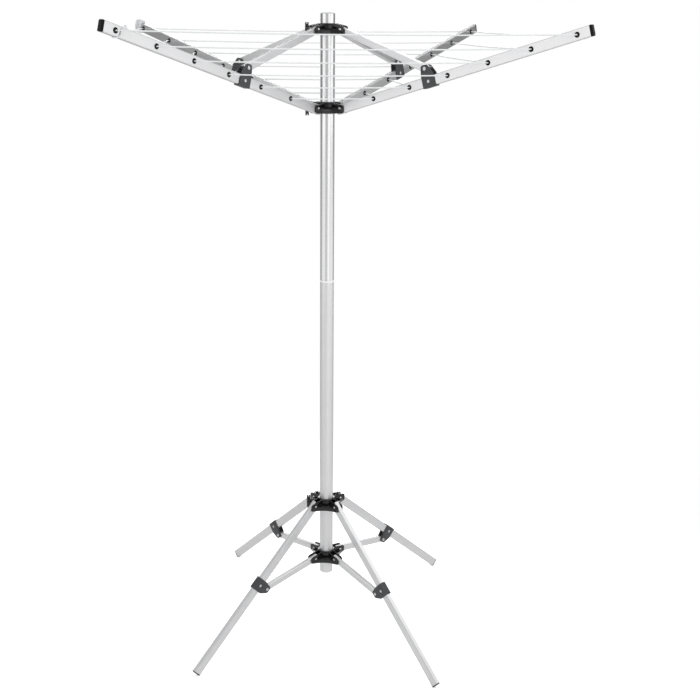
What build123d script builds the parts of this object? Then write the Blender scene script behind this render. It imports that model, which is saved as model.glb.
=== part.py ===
from build123d import *
import math
import os

# A rotary clothesline: a mast on four folding legs, with a turning head of
# four folding arms that carry six square rounds of line. Millimetres, +Z up,
# origin on the ground under the mast, head arms on the X and Y diagonals.

# Mast
MAST_D = 38.0
MAST_WALL = 1.5
MAST_BOTTOM_Z = 157.0
MAST_JOINT_Z = 1054.0
MAST_TOP_Z = 1748.0
CAP_DOME = 4.0
CAP_RIM = 1.5
CAP_SLOPE = 6.0
CAP_PLUG = 18.0
PLUG_FIT = 0.1
BUSH_FLANGE = 5.0
BUSH_SPIGOT = 60.0
BUSH_WALL = 3.0
BUSH_FIT = 0.25
FOOT_GROOVE = 2.5
FOOT_GROOVE_DEPTH = 0.6
FOOT_GROOVE_LEAD = 0.5

# Hub pivots: from the ends of the mast, and how far apart each pair stands when open
BASE_FOOT = 56.0
BASE_SPREAD = 171.0
HEAD_TOP = 40.0
HEAD_SPREAD = 193.0

# Hub moulding
PIVOT_R = 47.0
HUB_WALL = 6.0
HUB_RISE = 16.5
HUB_DROP = 13.0
SLIDE_FIT = 0.3
FIXED_FIT = 0.05
SLOT_SIDE = 0.5
EAR_T = 3.0
HEAD_EAR_REACH = 11.5
BASE_EAR_REACH = 16.0
EAR_RISE = 10.0
EAR_DROP = 10.5
EAR_EASE = 4.5
WEB_WAIST_R = 39.0
WEB_SCOOP_R = 68.0
WEB_INSET = 6.0
WEB_DROP = 11.0
WEB_CREST = 4.5
WEB_LIP = 12.0
WEB_FALL = 8.0

# Pivot pins and the facets of the repeated rounds
PIN_D = 7.0
PIN_PROUD = 1.4
PIN_FIT = 0.1
PIN_SNUG = 0.02
PIN_FACETS = 8
EYELET_FACETS = 12
KNOB_FACETS = 14
DRUM_FACETS = 24
SCOOP_FACETS = 32

# Clamp knobs
SCREW_D = 6.0
SCREW_FIT = 0.1
SCREW_TIP = 0.2
KNOB_BOSS_D = 15.0
CLAMP_BOSS_R = 44.0
KNOB_GAP = 0.5
KNOB_NECK = 4.0
WING_LENGTH = 38.0
WING_WIDTH = 7.5
WING_DEPTH = 9.0
WING_EASE = 2.0
WING_GROOVE = 2.0
WING_GROOVE_DEPTH = 4.0

# Arm and leg tubes
TUBE_H = 24.0
TUBE_W = 13.0
TUBE_WALL = 1.3
TUBE_CORNER = 1.4
TUBE_TAIL = 12.0

# Strut tubes
STRUT_H = 18.0
STRUT_W = 12.0
STRUT_WALL = 1.2
STRUT_CORNER = 1.2
STRUT_TAIL = 10.0

# Arms
ARM_TURN = 45.0
ARM_RISE = 16.5
ARM_LENGTH = 700.0
ARM_BRACKET_AT = 276.0
CAP_FLANGE = 6.0
CAP_EASE = 1.5
END_PLUG = 14.0

# Legs
LEG_TURN = 33.8
LEG_DROP = 41.6
LEG_BRACKET_AT = 268.0
FOOT_FLANGE = 3.0

# Brackets between tubes and struts
BRACKET_REACH = 31.0
BRACKET_LENGTH = 36.0
BRACKET_PLATE = 2.5
BRACKET_FIT = 0.05
BRACKET_SHIFT = 4.0
BRACKET_SHOULDER = 16.0
NOSE_R = 9.0
NOSE_EASE = 4.5

# Line, eyelets and spare cord
LINE_D = 3.0
LINE_ROUNDS = 6
LINE_FIRST = 110.0
LINE_FROM_TIP = 30.0
LINE_LEAD = 2.5
EYELET_D = 11.0
EYELET_BORE = 4.4
EYELET_PROUD = 1.0
EYELET_FIT = 0.02
WRAP_TURNS = 4
WRAP_PITCH = 4.0
WRAP_GAP = 0.4
WRAP_FROM_TIP = 20.0
TIE_FROM_TIP = 46.0

MAST_R = MAST_D / 2
MAST_BORE_R = MAST_R - MAST_WALL
PIN_R = PIN_D / 2
LINE_SIDE = 0.8 * LINE_D
LINE_PITCH = (ARM_LENGTH - LINE_FIRST - LINE_FROM_TIP) / (LINE_ROUNDS - 1)
BASE_LOWER_Z = MAST_BOTTOM_Z + BASE_FOOT
BASE_UPPER_Z = BASE_LOWER_Z + BASE_SPREAD
HEAD_UPPER_Z = MAST_TOP_Z - HEAD_TOP
HEAD_LOWER_Z = HEAD_UPPER_Z - HEAD_SPREAD
ARM_AZIMUTHS = {
    "1": 180 + ARM_TURN,
    "2": 270 + ARM_TURN,
    "3": ARM_TURN,
    "4": 90 + ARM_TURN,
}
LEG_AZIMUTHS = {
    "1": 180 + LEG_TURN,
    "2": 270 + LEG_TURN,
    "3": LEG_TURN,
    "4": 90 + LEG_TURN,
}
HEAD_KNOB_AZIMUTH = 135 + ARM_TURN
BASE_KNOB_AZIMUTH = 135 + LEG_TURN
SLOT_W = TUBE_W + 2 * SLOT_SIDE
COLLAR_R = MAST_R + HUB_WALL
CLAMP_R = max(CLAMP_BOSS_R, COLLAR_R)


def prism(radius, length, facets, inscribed=False):
    """Faceted round along Y, centred; inscribed keeps the radius clear inside."""
    outline = RegularPolygon(radius, facets, major_radius=not inscribed)
    return extrude(Plane.XZ * outline, length / 2, both=True)


def pin(radius, length):
    """Round pin along Y, centred."""
    return extrude(Plane.XZ * Circle(radius), length / 2, both=True)


def drum(radius, start, end, inscribed=False):
    """Faceted round along Z between two heights."""
    outline = RegularPolygon(radius, DRUM_FACETS, major_radius=not inscribed)
    return Pos(0, 0, start) * extrude(outline, end - start)


def tube_outline(height, width, corner):
    """Section of a tube with eased corners, width across Y and height up Z."""
    outline = Rectangle(width, height)
    return chamfer(outline.vertices(), corner)


def tube(height, width, wall, corner, start, end):
    """Rectangular tube along +X between two stations, tall in Z."""
    outer = tube_outline(height, width, corner)
    inner = Rectangle(width - 2 * wall, height - 2 * wall)
    return Pos(start, 0, 0) * extrude(Plane.YZ * (outer - inner), end - start)


def end_plug(flange, easing):
    """Tube end piece from x = 0: a flange as wide as the tube and a plug inside it."""
    head = extrude(Plane.YZ * tube_outline(TUBE_H, TUBE_W, TUBE_CORNER), flange)
    if easing > 0:
        head = chamfer(head.faces().sort_by(Axis.X)[-1].edges(), easing)
    hole_w = TUBE_W - 2 * TUBE_WALL - 2 * PLUG_FIT
    hole_h = TUBE_H - 2 * TUBE_WALL - 2 * PLUG_FIT
    plug = extrude(Plane.YZ * Rectangle(hole_w, hole_h), -END_PLUG)
    return head + plug


def hub(bore_fit, ear_reach, clamp_azimuth=None):
    """Four-slot hub round the mast with its pivots at z = 0 and slots at 0, 90, 180, 270."""
    tip_r = PIVOT_R + ear_reach
    collar = drum(COLLAR_R, -HUB_DROP, HUB_RISE)
    scoop_at = WEB_WAIST_R + WEB_SCOOP_R
    scoop = RegularPolygon(WEB_SCOOP_R, SCOOP_FACETS)
    scoops = [Rot(0, 0, 45 + 90 * k) * Pos(scoop_at, 0) * scoop for k in range(4)]
    plan = Rectangle(2 * (tip_r - WEB_INSET), 2 * (tip_r - WEB_INSET)) - scoops
    web = Pos(0, 0, -WEB_DROP) * extrude(plan, WEB_DROP + HUB_RISE)
    root_r = MAST_R + HUB_WALL / 2
    slope = [
        (root_r, WEB_CREST),
        (WEB_WAIST_R, WEB_LIP - WEB_DROP),
        (2 * tip_r, WEB_LIP - WEB_DROP - WEB_FALL),
        (2 * tip_r, 2 * HUB_RISE),
        (root_r, 2 * HUB_RISE),
    ]
    wedge = extrude(make_face(Plane.XZ * Polyline(*slope, close=True)), 2 * tip_r, both=True)
    web -= [Rot(0, 0, 45 + 90 * k) * wedge for k in range(4)]
    ear_outline = [
        (root_r, -EAR_DROP),
        (tip_r, -EAR_DROP),
        (tip_r, EAR_RISE),
        (COLLAR_R, HUB_RISE),
        (root_r, HUB_RISE),
    ]
    ear_face = make_face(Plane.XZ * Polyline(*ear_outline, close=True))
    ear_pair = extrude(ear_face, SLOT_W / 2 + EAR_T, both=True)
    tips = ear_pair.edges().filter_by(Axis.Y).sort_by(Axis.X)[-2:]
    ear_pair = chamfer(tips, EAR_EASE)
    body = collar + web
    for k in range(4):
        body += Rot(0, 0, 90 * k) * ear_pair
    slot_length = 2 * tip_r - COLLAR_R
    slot_z = (HUB_RISE - HUB_DROP) / 2
    slot_h = 2 * (HUB_RISE + HUB_DROP)
    slot = Pos(COLLAR_R + slot_length / 2, 0, slot_z) * Box(slot_length, SLOT_W, slot_h)
    hole = Pos(PIVOT_R, 0, 0) * prism(PIN_R + PIN_SNUG, 2 * (SLOT_W + 2 * EAR_T), PIN_FACETS, True)
    cuts = [Rot(0, 0, 90 * k) * slot for k in range(4)]
    cuts += [Rot(0, 0, 90 * k) * hole for k in range(4)]
    if clamp_azimuth is not None:
        to_knob = Rot(0, 0, clamp_azimuth - 90)
        boss_length = CLAMP_R - MAST_R - HUB_WALL / 2
        boss = prism(KNOB_BOSS_D / 2, boss_length, KNOB_FACETS)
        body += to_knob * Pos(0, CLAMP_R - boss_length / 2, 0) * boss
        thread = prism(SCREW_D / 2 + SCREW_FIT, 2 * CLAMP_R, PIN_FACETS, True)
        cuts.append(to_knob * Pos(0, CLAMP_R, 0) * thread)
    cuts.append(drum(MAST_R + bore_fit, -2 * HUB_DROP, 2 * HUB_RISE, True))
    return body - cuts


def through_pins():
    """Pivot pins of a fixed hub, right across its slots."""
    rivet = Pos(PIVOT_R, 0, 0) * pin(PIN_R, SLOT_W + 2 * EAR_T + 2 * PIN_PROUD)
    return Compound(children=[Rot(0, 0, 90 * k) * rivet for k in range(4)])


def stub_pins():
    """Pivot studs of a sliding hub, in its ears and flush with its slots."""
    length = EAR_T + PIN_PROUD
    stud = prism(PIN_R, length, PIN_FACETS)
    offset = SLOT_W / 2 + length / 2
    pair = [Pos(PIVOT_R, side * offset, 0) * stud for side in (-1, 1)]
    return Compound(children=[Rot(0, 0, 90 * k) * stud for k in range(4) for stud in pair])


def knob():
    """Wing clamp screw along +Y from the mast surface, wing upright at rest."""
    neck_y = CLAMP_R + KNOB_GAP
    wing_y = neck_y + KNOB_NECK
    tip_y = MAST_R + SCREW_TIP
    boss_length = KNOB_NECK + WING_DEPTH
    screw = Pos(0, (tip_y + wing_y) / 2, 0) * pin(SCREW_D / 2, wing_y - tip_y)
    boss = Pos(0, neck_y + boss_length / 2, 0) * prism(KNOB_BOSS_D / 2, boss_length, KNOB_FACETS)
    outline = Rectangle(WING_WIDTH, WING_LENGTH)
    outline = chamfer(outline.vertices(), WING_EASE)
    wing = extrude(Plane.XZ * outline, WING_DEPTH / 2, both=True)
    groove = Box(2 * WING_WIDTH, WING_GROOVE, 2 * WING_GROOVE_DEPTH)
    wing -= [Pos(0, 0, end * WING_LENGTH / 2) * groove for end in (-1, 1)]
    return screw + boss + Pos(0, wing_y + WING_DEPTH / 2, 0) * wing


def bracket():
    """U bracket saddling a tube along X, closed under it, with the pivot above at z = reach."""
    half = BRACKET_LENGTH / 2
    inner_w = TUBE_W + 2 * BRACKET_FIT
    floor_z = -TUBE_H / 2 - BRACKET_FIT
    tip_z = BRACKET_REACH + NOSE_R
    mid_x = BRACKET_SHIFT
    outline = [
        (mid_x - half, floor_z - BRACKET_PLATE),
        (mid_x + half, floor_z - BRACKET_PLATE),
        (mid_x + half, BRACKET_SHOULDER),
        (NOSE_R, tip_z),
        (-NOSE_R, tip_z),
        (mid_x - half, BRACKET_SHOULDER),
    ]
    plate = make_face(Plane.XZ * Polyline(*outline, close=True))
    block = extrude(plate, inner_w / 2 + BRACKET_PLATE, both=True)
    nose = block.edges().filter_by(Axis.Y).sort_by(Axis.Z)[-2:]
    block = chamfer(nose, NOSE_EASE)
    channel_h = tip_z - floor_z + BRACKET_PLATE
    channel = Pos(mid_x, 0, floor_z + channel_h / 2) * Box(2 * BRACKET_LENGTH, inner_w, channel_h)
    hole = Pos(0, 0, BRACKET_REACH) * prism(PIN_R + PIN_SNUG, 2 * TUBE_W, PIN_FACETS, True)
    return block - channel - hole


def bracket_pin():
    """Pivot pin of a bracket."""
    length = TUBE_W + 2 * BRACKET_FIT + 2 * BRACKET_PLATE + 2 * PIN_PROUD
    return Pos(0, 0, BRACKET_REACH) * pin(PIN_R, length)


def strut(start, end):
    """Strut tube between two pivots given as (radius, z), in the radial plane."""
    run = end[0] - start[0]
    rise = end[1] - start[1]
    length = math.hypot(run, rise)
    body = tube(STRUT_H, STRUT_W, STRUT_WALL, STRUT_CORNER, -STRUT_TAIL, length + STRUT_TAIL)
    hole = prism(PIN_R + PIN_FIT, 2 * STRUT_W, PIN_FACETS, True)
    body -= [hole, Pos(length, 0, 0) * hole]
    tilt = math.degrees(math.atan2(rise, run))
    return Pos(start[0], 0, start[1]) * Rot(0, -tilt, 0) * body


def place_arm(azimuth):
    """Arm frame: origin at the root pivot, +X along the arm, +Z towards its strut."""
    return Rot(0, 0, azimuth) * Pos(PIVOT_R, 0, HEAD_LOWER_Z) * Rot(0, -ARM_RISE, 0)


def place_leg(azimuth):
    """Leg frame: origin at the top pivot, +X down the leg, +Z towards its strut."""
    return Rot(0, 0, azimuth) * Pos(PIVOT_R, 0, BASE_UPPER_Z) * Rot(0, LEG_DROP, 0) * Rot(180, 0, 0)


def in_radial_plane(along, across, tilt, pivot_z):
    """Point of an arm or leg frame as (radius, z)."""
    slope = math.radians(tilt)
    radius = PIVOT_R + along * math.cos(slope) - across * math.sin(slope)
    height = pivot_z + along * math.sin(slope) + across * math.cos(slope)
    return radius, height


def line_stations():
    """Distances of the line holes along an arm."""
    return [LINE_FIRST + LINE_PITCH * k for k in range(LINE_ROUNDS)]


def line_round(along):
    """One closed round of line through the four arms at one station."""
    radius, height = in_radial_plane(along, 0, ARM_RISE, HEAD_LOWER_Z)
    out = TUBE_W / 2 + EYELET_PROUD + LINE_LEAD
    side = (radius + out) * math.cos(math.pi / 4)
    cut = (radius - out) * math.cos(math.pi / 4)
    start = (0, -side, 0)
    quarter = Wire(Polyline(start, (cut, -side, 0), (side, -cut, 0), (side, 0, 0)).edges())
    section = Plane(origin=start, z_dir=(1, 0, 0)) * Rectangle(LINE_SIDE, LINE_SIDE)
    piece = sweep(section, path=quarter, transition=Transition.RIGHT)
    turned = [Rot(0, 0, 90 * k) * piece for k in range(4)]
    whole = turned[0] + turned[1] + turned[2] + turned[3]
    return Rot(0, 0, ARM_TURN - 45) * Pos(0, 0, height) * whole


def wrap(turns, start_x):
    """Cord wound round an arm tube as one tube, in the arm frame, starting at a station."""
    off = LINE_D / 2 + WRAP_GAP
    ease = TUBE_CORNER + (2 - math.sqrt(2)) * off
    half_w = TUBE_W / 2 + off
    half_h = TUBE_H / 2 + off
    lean = WRAP_PITCH / 2 * ease / (2 * half_w)
    points = [(start_x, -half_w, -half_h / 2)]
    x = start_x
    side = -1
    for half_turn in range(2 * turns):
        up = 1 if half_turn % 2 == 0 else -1
        points.append((x, side * half_w, up * (half_h - ease)))
        points.append((x + lean, side * (half_w - ease), up * half_h))
        x += WRAP_PITCH / 2
        side = -side
        points.append((x - lean, side * (half_w - ease), up * half_h))
        points.append((x, side * half_w, up * (half_h - ease)))
    points.append((x, side * half_w, half_h / 2))
    path = Wire(Polyline(*points).edges())
    section = Plane(origin=points[0], z_dir=(0, 0, 1)) * Rectangle(LINE_SIDE, LINE_SIDE)
    return sweep(section, path=path, transition=Transition.RIGHT), path


def self_gap(path, turns):
    """Least gap of a wound cord to itself, on points more than half a turn apart."""
    count = 60 * turns
    points = [path.position_at(k / count) for k in range(count + 1)]
    apart = 40
    gaps = [
        (points[j] - points[i]).length - LINE_D
        for i in range(count + 1)
        for j in range(i + apart, count + 1)
    ]
    return min(gaps)


nodes = {}

# Mast tubes, the bush that the head turns on and the top cap
lower_top = MAST_JOINT_Z - BUSH_FLANGE / 2
upper_bottom = MAST_JOINT_Z + BUSH_FLANGE / 2 + BUSH_FIT
mast_ring = Circle(MAST_R) - Circle(MAST_BORE_R)
lower_mast = Pos(0, 0, MAST_BOTTOM_Z) * extrude(mast_ring, lower_top - MAST_BOTTOM_Z)
groove_z = BASE_LOWER_Z - HUB_DROP - FOOT_GROOVE_LEAD
groove = extrude(Circle(MAST_D) - Circle(MAST_R - FOOT_GROOVE_DEPTH), FOOT_GROOVE)
nodes["lower_mast"] = lower_mast - Pos(0, 0, groove_z) * groove
nodes["upper_mast"] = Pos(0, 0, upper_bottom) * extrude(mast_ring, MAST_TOP_Z - upper_bottom)
bush_bore = MAST_BORE_R - BUSH_FIT - BUSH_WALL
bush = drum(MAST_BORE_R - FIXED_FIT, lower_top - BUSH_SPIGOT, lower_top)
bush += drum(MAST_R, lower_top, lower_top + BUSH_FLANGE)
bush += drum(MAST_BORE_R - BUSH_FIT, lower_top + BUSH_FLANGE, lower_top + BUSH_FLANGE + BUSH_SPIGOT)
bush_reach = BUSH_FLANGE + 2 * BUSH_SPIGOT
nodes["mast_bush"] = bush - drum(bush_bore, lower_top - bush_reach, lower_top + bush_reach)
cap = drum(MAST_R, MAST_TOP_Z, MAST_TOP_Z + CAP_DOME)
cap = chamfer(cap.faces().sort_by(Axis.Z)[-1].edges(), CAP_DOME - CAP_RIM, CAP_SLOPE)
nodes["mast_cap"] = cap + drum(MAST_BORE_R - PLUG_FIT, MAST_TOP_Z - CAP_PLUG, MAST_TOP_Z)

# Hubs, their pins and their clamp knobs
head_knob = HEAD_KNOB_AZIMUTH - ARM_TURN
base_knob = BASE_KNOB_AZIMUTH - LEG_TURN
at_base_lower = Pos(0, 0, BASE_LOWER_Z) * Rot(0, 0, LEG_TURN)
at_base_upper = Pos(0, 0, BASE_UPPER_Z) * Rot(0, 0, LEG_TURN)
at_head_lower = Pos(0, 0, HEAD_LOWER_Z) * Rot(0, 0, ARM_TURN)
at_head_upper = Pos(0, 0, HEAD_UPPER_Z) * Rot(0, 0, ARM_TURN)
nodes["base_lower_hub"] = at_base_lower * hub(FIXED_FIT, BASE_EAR_REACH)
nodes["base_lower_rivets"] = at_base_lower * through_pins()
nodes["base_upper_hub"] = at_base_upper * hub(SLIDE_FIT, BASE_EAR_REACH, base_knob)
nodes["base_upper_rivets"] = at_base_upper * stub_pins()
nodes["base_knob"] = at_base_upper * Rot(0, 0, base_knob - 90) * knob()
nodes["head_lower_hub"] = at_head_lower * hub(SLIDE_FIT, HEAD_EAR_REACH, head_knob)
nodes["head_lower_rivets"] = at_head_lower * stub_pins()
nodes["lower_knob"] = at_head_lower * Rot(0, 0, head_knob - 90) * knob()
nodes["head_upper_hub"] = at_head_upper * hub(FIXED_FIT, HEAD_EAR_REACH, head_knob)
nodes["head_upper_rivets"] = at_head_upper * through_pins()
nodes["upper_knob"] = at_head_upper * Rot(0, 0, head_knob - 90) * knob()

# Arms with their caps, brackets, pins, eyelets and struts
arm_tube = tube(TUBE_H, TUBE_W, TUBE_WALL, TUBE_CORNER, -TUBE_TAIL, ARM_LENGTH)
eyelet_hole = prism(EYELET_D / 2 + EYELET_FIT, 2 * TUBE_W, PIN_FACETS, True)
arm_tube -= [Pos(along, 0, 0) * eyelet_hole for along in line_stations()]
arm_cap = Pos(ARM_LENGTH, 0, 0) * end_plug(CAP_FLANGE, CAP_EASE)
eyelet = prism(EYELET_D / 2, TUBE_W + 2 * EYELET_PROUD, EYELET_FACETS)
eyelet -= prism(EYELET_BORE / 2, 2 * TUBE_W, EYELET_FACETS, True)
eyelets = [Pos(along, 0, 0) * eyelet for along in line_stations()]
arm_pivot = in_radial_plane(ARM_BRACKET_AT, BRACKET_REACH, ARM_RISE, HEAD_LOWER_Z)
for name, azimuth in ARM_AZIMUTHS.items():
    place = place_arm(azimuth)
    at_bracket = place * Pos(ARM_BRACKET_AT, 0, 0)
    nodes["arm_tube_" + name] = place * arm_tube
    nodes["arm_cap_" + name] = place * arm_cap
    nodes["arm_bracket_" + name] = at_bracket * bracket()
    nodes["arm_pin_" + name] = at_bracket * bracket_pin()
    nodes["arm_eyelets_" + name] = Compound(children=[place * piece for piece in eyelets])
    nodes["strut_" + name] = Rot(0, 0, azimuth) * strut((PIVOT_R, HEAD_UPPER_Z), arm_pivot)

# Legs, long enough for the lower edge of the foot to stand on the ground
leg_slope = math.radians(LEG_DROP)
leg_end = (BASE_UPPER_Z - TUBE_H / 2 * math.cos(leg_slope)) / math.sin(leg_slope)
leg_tube = tube(TUBE_H, TUBE_W, TUBE_WALL, TUBE_CORNER, -TUBE_TAIL, leg_end - FOOT_FLANGE)
leg_foot = Pos(leg_end - FOOT_FLANGE, 0, 0) * end_plug(FOOT_FLANGE, 0)
leg_pivot = in_radial_plane(LEG_BRACKET_AT, -BRACKET_REACH, -LEG_DROP, BASE_UPPER_Z)
for name, azimuth in LEG_AZIMUTHS.items():
    place = place_leg(azimuth)
    at_bracket = place * Pos(LEG_BRACKET_AT, 0, 0)
    nodes["leg_tube_" + name] = place * leg_tube
    nodes["leg_foot_" + name] = place * leg_foot
    nodes["leg_bracket_" + name] = at_bracket * bracket()
    nodes["leg_pin_" + name] = at_bracket * bracket_pin()
    nodes["leg_strut_" + name] = Rot(0, 0, azimuth) * strut((PIVOT_R, BASE_LOWER_Z), leg_pivot)

# Six rounds of line, the spare cord wound at the rear left tip and the tie at the front left
rounds = [line_round(along) for along in line_stations()]
spare, spare_path = wrap(WRAP_TURNS, ARM_LENGTH - WRAP_FROM_TIP)
tie, tie_path = wrap(1, ARM_LENGTH - TIE_FROM_TIP)
at_tips = [place_arm(ARM_AZIMUTHS["4"]) * spare, place_arm(ARM_AZIMUTHS["1"]) * tie]
nodes["clothes_line"] = Compound(children=rounds + at_tips)
section_area = LINE_SIDE**2
print("spare cord least gap to itself", round(self_gap(spare_path, WRAP_TURNS), 3))
print("spare cord volume over section times length", spare.volume / section_area / spare_path.length)
print("line length", sum(piece.volume for piece in rounds) / section_area)
print("arm pivot", arm_pivot, "leg pivot", leg_pivot, "leg end", leg_end)

os.makedirs("parts", exist_ok=True)
for name, shape in nodes.items():
    export_step(shape, os.path.join("parts", name + ".step"))
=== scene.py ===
"""Dresses a rotary clothesline: tubes, hubs, brackets, rivets and line, and sets it in a studio."""

from __future__ import annotations

import logging
import math
from dataclasses import dataclass
from enum import Enum

import bmesh
import bpy
import numpy as np
from mathutils import Euler, Matrix, Vector

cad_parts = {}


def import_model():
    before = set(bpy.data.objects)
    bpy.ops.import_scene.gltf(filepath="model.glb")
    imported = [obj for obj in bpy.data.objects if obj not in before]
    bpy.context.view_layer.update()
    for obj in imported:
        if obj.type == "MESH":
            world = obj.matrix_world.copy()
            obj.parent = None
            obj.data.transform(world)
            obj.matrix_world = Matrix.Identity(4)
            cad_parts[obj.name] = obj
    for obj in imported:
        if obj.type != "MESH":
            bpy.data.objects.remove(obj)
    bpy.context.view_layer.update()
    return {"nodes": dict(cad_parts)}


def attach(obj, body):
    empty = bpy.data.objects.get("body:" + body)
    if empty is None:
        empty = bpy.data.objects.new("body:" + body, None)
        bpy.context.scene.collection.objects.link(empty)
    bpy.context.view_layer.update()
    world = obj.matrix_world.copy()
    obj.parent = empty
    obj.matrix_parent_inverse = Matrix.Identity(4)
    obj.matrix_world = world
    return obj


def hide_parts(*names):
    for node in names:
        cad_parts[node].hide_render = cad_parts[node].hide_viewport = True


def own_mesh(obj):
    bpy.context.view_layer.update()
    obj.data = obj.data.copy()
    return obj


MM = 0.001
# Radius and step, in millimetres, that close the ends of a cord.
POINT = 1e-4
NUDGE = 1e-3
LOG = logging.getLogger("clothesline")


class Corner(Enum):
    """The four arms or legs by their place round the mast, numbered as their nodes are."""

    FRONT_LEFT = 1
    FRONT_RIGHT = 2
    REAR_RIGHT = 3
    REAR_LEFT = 4

    def azimuth(self, turned_by: float) -> float:
        """Azimuth in degrees of this corner, when the set of four is turned by so many degrees."""
        return 90.0 * ((self.value + 1) % 4) + turned_by


class Side(Enum):
    """The two tall faces of an arm, by the sign of their tangential direction."""

    AHEAD = 1
    BEHIND = -1


@dataclass(frozen=True)
class Frame:
    """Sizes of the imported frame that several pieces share, in millimetres and degrees."""

    mast_r: float = 19.0
    mast_wall: float = 1.5
    mast_bottom: float = 157.0
    mast_joint: float = 1054.0
    mast_top: float = 1748.0
    groove_z: float = 199.5
    groove: float = 2.5
    groove_depth: float = 0.6
    bush_flange: float = 5.0
    bush_fit: float = 0.25
    base_lower: float = 213.0
    base_upper: float = 384.0
    head_lower: float = 1515.0
    head_upper: float = 1708.0
    pivot_r: float = 47.0
    slot_w: float = 14.0
    head_ear: float = 11.5
    base_ear: float = 16.0
    tube_h: float = 24.0
    tube_w: float = 13.0
    arm_turn: float = 45.0
    arm_rise: float = 16.5
    arm_length: float = 700.0
    arm_bracket: float = 276.0
    strut_fall: float = 18.4
    leg_turn: float = 33.8
    leg_drop: float = 41.6
    leg_bracket: float = 268.0
    leg_strut_fall: float = 9.5
    bracket_reach: float = 31.0
    line_first: float = 110.0
    line_pitch: float = 112.0
    line_rounds: int = 6

    def stations(self) -> list[float]:
        """Distances of the line holes along an arm."""
        return [self.line_first + self.line_pitch * k for k in range(self.line_rounds)]

    def arm(self, corner: Corner) -> np.ndarray:
        """Arm frame: origin at the root pivot, X along the arm, Z towards its strut."""
        place = turn("z", corner.azimuth(self.arm_turn)) @ shift(self.pivot_r, 0, self.head_lower)
        return place @ turn("y", -self.arm_rise)

    def leg(self, corner: Corner) -> np.ndarray:
        """Leg frame: origin at the top pivot, X down the leg, Z towards its strut."""
        place = turn("z", corner.azimuth(self.leg_turn)) @ shift(self.pivot_r, 0, self.base_upper)
        return place @ turn("y", self.leg_drop) @ turn("x", 180)


SIZE = Frame()


def shift(x: float, y: float, z: float) -> np.ndarray:
    """Placement that moves and doesn't turn.

    Args:
        x: millimetres along X.
        y: millimetres along Y.
        z: millimetres along Z.

    Returns:
        The four by four matrix.
    """
    moved = np.eye(4)
    moved[:3, 3] = (x, y, z)
    return moved


def turn(axis: str, degrees: float) -> np.ndarray:
    """Placement that turns about a named axis by the right-hand rule."""
    return np.array(Matrix.Rotation(math.radians(degrees), 4, axis.upper()))


def placed(frame: np.ndarray, points: np.ndarray) -> np.ndarray:
    """Points of any array shape moved by a placement."""
    return points @ frame[:3, :3].T + frame[:3, 3]


def linear(colour: str) -> tuple[float, float, float, float]:
    """Linear RGBA of an sRGB hex colour.

    Args:
        colour: six hex digits after a hash sign.

    Returns:
        The colour with full alpha.
    """
    raw = np.array([int(colour[k : k + 2], 16) for k in (1, 3, 5)]) / 255
    value = np.where(raw <= 0.04045, raw / 12.92, ((raw + 0.055) / 1.055) ** 2.4)
    return (*value.tolist(), 1.0)


def add_node(
    tree: bpy.types.NodeTree,
    kind: str,
    settings: dict[str | int, object] | None = None,
    links: dict[str | int, bpy.types.NodeSocket] | None = None,
) -> bpy.types.Node:
    """Adds a shader node.

    Args:
        tree: the node tree.
        kind: the node's type name.
        settings: values of its inputs by name or number, or of its properties by name.
        links: output sockets to join to its inputs by name or number.

    Returns:
        The new node.
    """
    made = tree.nodes.new(kind)
    for key, value in (settings or {}).items():
        if isinstance(key, int) or key in made.inputs:
            made.inputs[key].default_value = value
        else:
            setattr(made, key, value)
    for key, source in (links or {}).items():
        tree.links.new(source, made.inputs[key])
    return made


def smooth_step(over: tuple[float, float], to: tuple[float, float]) -> dict[str | int, object]:
    """Settings for a smooth step over a range, between two levels."""
    ends = {"From Min": over[0], "From Max": over[1], "To Min": to[0], "To Max": to[1]}
    return {"interpolation_type": "SMOOTHSTEP", **ends}


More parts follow.
